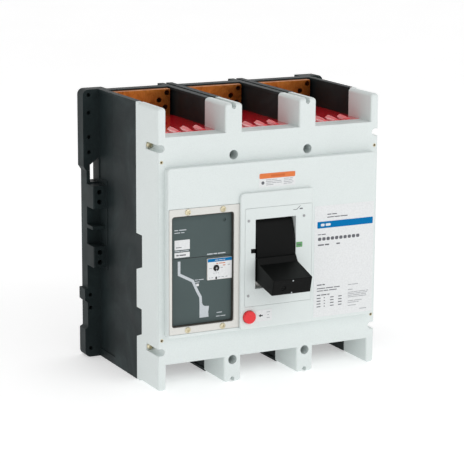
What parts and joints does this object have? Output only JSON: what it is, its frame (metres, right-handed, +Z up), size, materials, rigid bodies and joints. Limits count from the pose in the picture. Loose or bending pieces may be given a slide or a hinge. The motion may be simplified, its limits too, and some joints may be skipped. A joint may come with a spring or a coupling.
{
  "type": "molded case circuit breaker",
  "caption": "Large-frame molded case circuit breaker with a toggle handle, electronic trip unit, push-to-trip button and open line and load terminal wells.",
  "frame": {"origin": "centre of the four panel-bolt holes, on the rear mounting plane", "axes": "+Z up towards the line end, +X to the right seen from the front, +Y towards the mounting panel, so the handle faces -Y"},
  "size_m": [0.403, 0.3018, 0.4064],
  "materials": {
    "cover_white": "light grey-white moulded thermoset",
    "base_black": "charcoal glass-filled polyester",
    "handle_black": "black satin moulding",
    "frame_white": "off-white moulding",
    "slate_face": "slate grey printed face",
    "baffle_red": "deep red glossy vulcanised fibre",
    "copper": "bare copper plate",
    "contact_silver": "silver-tungsten contact facing",
    "brass": "brass",
    "zinc_steel": "zinc-plated steel",
    "arc_steel": "mild steel plate",
    "fibre_card": "fibre board",
    "coil_black": "potted coil",
    "button_red": "red gloss moulding",
    "label_white": "printed film"
  },
  "bodies": {
    "breaker_body": {"arc_plates_a": "arc_steel", "arc_plates_b": "arc_steel", "arc_plates_c": "arc_steel", "arc_side_cards_a": "fibre_card", "arc_side_cards_b": "fibre_card", "arc_side_cards_c": "fibre_card", "base_housing": "base_black", "button_spring": "zinc_steel", "cover_screws": "brass", "cradle": "zinc_steel", "cradle_pin": "zinc_steel", "current_transformer_a": "coil_black", "current_transformer_b": "coil_black", "current_transformer_c": "coil_black", "fixed_contact_tips": "contact_silver", "flexible_shunt_a": "copper", "flexible_shunt_b": "copper", "flexible_shunt_c": "copper", "front_cover": "cover_white", "front_inserts": "brass", "handle_escutcheon": "cover_white", "handle_escutcheon_screws": "zinc_steel", "handle_pivot_pin": "zinc_steel", "latch_pin": "zinc_steel", "line_terminal_a": "copper", "line_terminal_b": "copper", "line_terminal_c": "copper", "load_terminal_a": "copper", "load_terminal_b": "copper", "load_terminal_c": "copper", "mechanism_side_plates": "zinc_steel", "rating_label": "label_white", "rating_plug": "frame_white", "trip_actuator": "coil_black", "trip_bar_bearings": "base_black", "trip_label": "label_white", "trip_unit_faceplate": "slate_face", "trip_unit_frame": "frame_white", "trip_unit_frame_screws": "brass", "trip_unit_housing": "base_black", "upper_sticker": "label_white", "vent_baffle_a": "baffle_red", "vent_baffle_b": "baffle_red", "vent_baffle_c": "baffle_red"},
    "handle_group": {"handle": "handle_black", "handle_lower_shutter": "frame_white", "handle_screw": "handle_black", "handle_yoke": "zinc_steel", "operating_springs": "zinc_steel", "spring_anchor_pin": "zinc_steel"},
    "contact_group": {"crossbar": "base_black", "moving_contact_tips": "contact_silver", "contact_arms_a": "copper", "contact_arms_b": "copper", "contact_arms_c": "copper"},
    "trip_button": {"push_to_trip_button": "button_red"},
    "trip_bar_group": {"trip_bar": "coil_black"},
    "latch_group": {"latch": "zinc_steel"},
    "dial": {"rating_plug_screw": "coil_black"}
  },
  "joints": [
    {"name": "handle_throw", "type": "hinge", "parent": "breaker_body", "child": "handle_group", "pos_m": [0, -0.1507, 0.0066], "axis": [-1, 0, 0], "range_deg": [-4, 28]},
    {"name": "crossbar_turn", "type": "hinge", "parent": "breaker_body", "child": "contact_group", "pos_m": [0, -0.0907, -0.0334], "axis": [-1, 0, 0], "range_deg": [-4, 28]},
    {"name": "trip_button_push", "type": "slide", "parent": "breaker_body", "child": "trip_button", "axis": [0, 1, 0], "range_m": [0, 0.004], "stiffness_N_per_m": 400, "springref_m": -0.0005, "deforming": ["button_spring"]},
    {"name": "trip_bar_turn", "type": "hinge", "parent": "breaker_body", "child": "trip_bar_group", "pos_m": [0, -0.1787, -0.1], "axis": [-1, 0, 0], "range_deg": [0, 18]},
    {"name": "latch_turn", "type": "hinge", "parent": "breaker_body", "child": "latch_group", "pos_m": [0, -0.1907, -0.0294], "axis": [1, 0, 0], "range_deg": [0, 12]},
    {"name": "rating_dial_turn", "type": "hinge", "parent": "breaker_body", "child": "dial", "pos_m": [-0.09, -0.2367, -0.0092], "axis": [0, -1, 0], "range_deg": [0, 280]}
  ],
  "couplings": [
    {"joint": "crossbar_turn", "follows": "handle_throw", "ratio": 1},
    {"joint": "trip_bar_turn", "follows": "trip_button_push", "rad_per_m": 78.501},
    {"joint": "latch_turn", "follows": "trip_button_push", "rad_per_m": 52.334}
  ]
}
